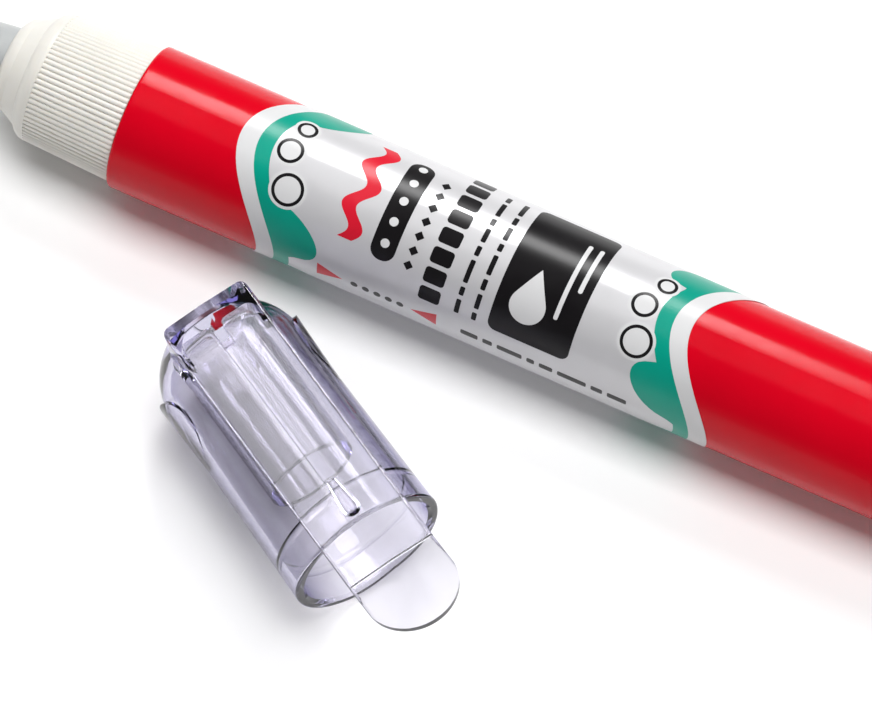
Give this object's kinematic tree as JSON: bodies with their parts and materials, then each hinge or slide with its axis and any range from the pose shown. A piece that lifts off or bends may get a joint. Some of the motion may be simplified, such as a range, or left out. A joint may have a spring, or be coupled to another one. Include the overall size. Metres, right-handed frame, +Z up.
{
  "type": "correction pen",
  "caption": "Round squeeze-barrel correction pen with a fine sprung metal tip, ribbed collar and wrap label, lying beside its clear clip cap.",
  "frame": {"origin": "middle of the footprint of pen and cap, on the surface that they lie on", "axes": "+X along the pen from its tip to its rear end, +Z up, the cap lies on the -Y side"},
  "size_m": [0.1132, 0.0496, 0.0197],
  "materials": {
    "red_plastic": "glossy moulded",
    "label_film": "satin printed film",
    "white_plastic": "satin moulded",
    "nose_plastic": "slightly see-through",
    "plunger_plastic": "moulded",
    "steel": "turned and polished",
    "seal_rubber": "matt",
    "clear_plastic": "clear, faintly violet, polished"
  },
  "bodies": {
    "pen": {"barrel": "red_plastic", "label": "label_film", "collar": "white_plastic", "seal_ring": "seal_rubber", "nose": "nose_plastic", "metal_tip": "steel", "valve_spring": "steel", "spring_holder": "plunger_plastic", "cap": "clear_plastic"},
    "valve": {"needle": "steel", "plunger": "plunger_plastic"},
    "ball": {"mixing_ball": "steel"}
  },
  "joints": [
    {"name": "needle_press", "type": "slide", "parent": "pen", "child": "valve", "axis": [1, 0, 0], "range_m": [0, 0.0008], "stiffness_N_per_m": 150, "springref_m": -0.0015, "deforming": ["valve_spring"]},
    {"name": "ball_roll", "type": "slide", "parent": "pen", "child": "ball", "axis": [1, 0, 0], "range_m": [-0.0423, 0.035]}
  ]
}
